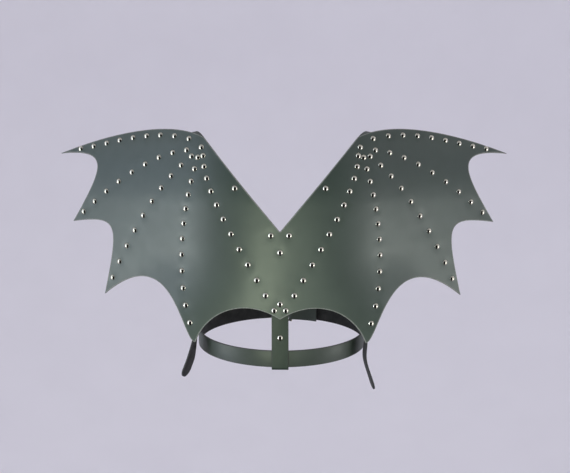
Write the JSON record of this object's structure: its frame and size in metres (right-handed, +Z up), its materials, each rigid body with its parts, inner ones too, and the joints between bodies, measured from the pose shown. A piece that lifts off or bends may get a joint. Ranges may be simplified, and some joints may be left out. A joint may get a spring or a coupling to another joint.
{
  "type": "bat wings harness",
  "caption": "Black leather bat wings worn on the back: one scalloped, riveted panel with both wings, shoulder straps, a spine strap and a waist belt.",
  "frame": {"origin": "midway between the wearer's shoulders, at the height where the shoulder straps cross them", "axes": "+X to the wearer's right as seen from behind, +Y the way the wearer faces, +Z up; the wings' outer face looks along -Y"},
  "size_m": [0.724, 0.2054, 0.3965],
  "materials": {
    "leather": "smooth satin black",
    "strap_leather": "smooth satin black",
    "metal": "polished nickel"
  },
  "bodies": {
    "root": {"wing_panel": "leather", "spine_strap": "strap_leather", "waist_belt": "strap_leather", "belt_buckle": "metal", "shoulder_strap_right": "strap_leather", "shoulder_strap_left": "strap_leather", "side_clasp_right": "metal", "side_clasp_left": "metal", "rivet_shoulder_top_right": "metal", "rivet_shoulder_top_left": "metal", "rivet_neckline_right": "metal", "rivet_neckline_left": "metal", "rivet_v_side_right": "metal", "rivet_v_side_left": "metal", "rivet_waist_right": "metal", "rivet_waist_left": "metal", "rivet_spine_foot_right": "metal", "rivet_spine_foot_left": "metal", "rivet_spine_top": "metal", "rivet_spine_middle": "metal", "rivet_spine_loop": "metal"}
  },
  "joints": []
}
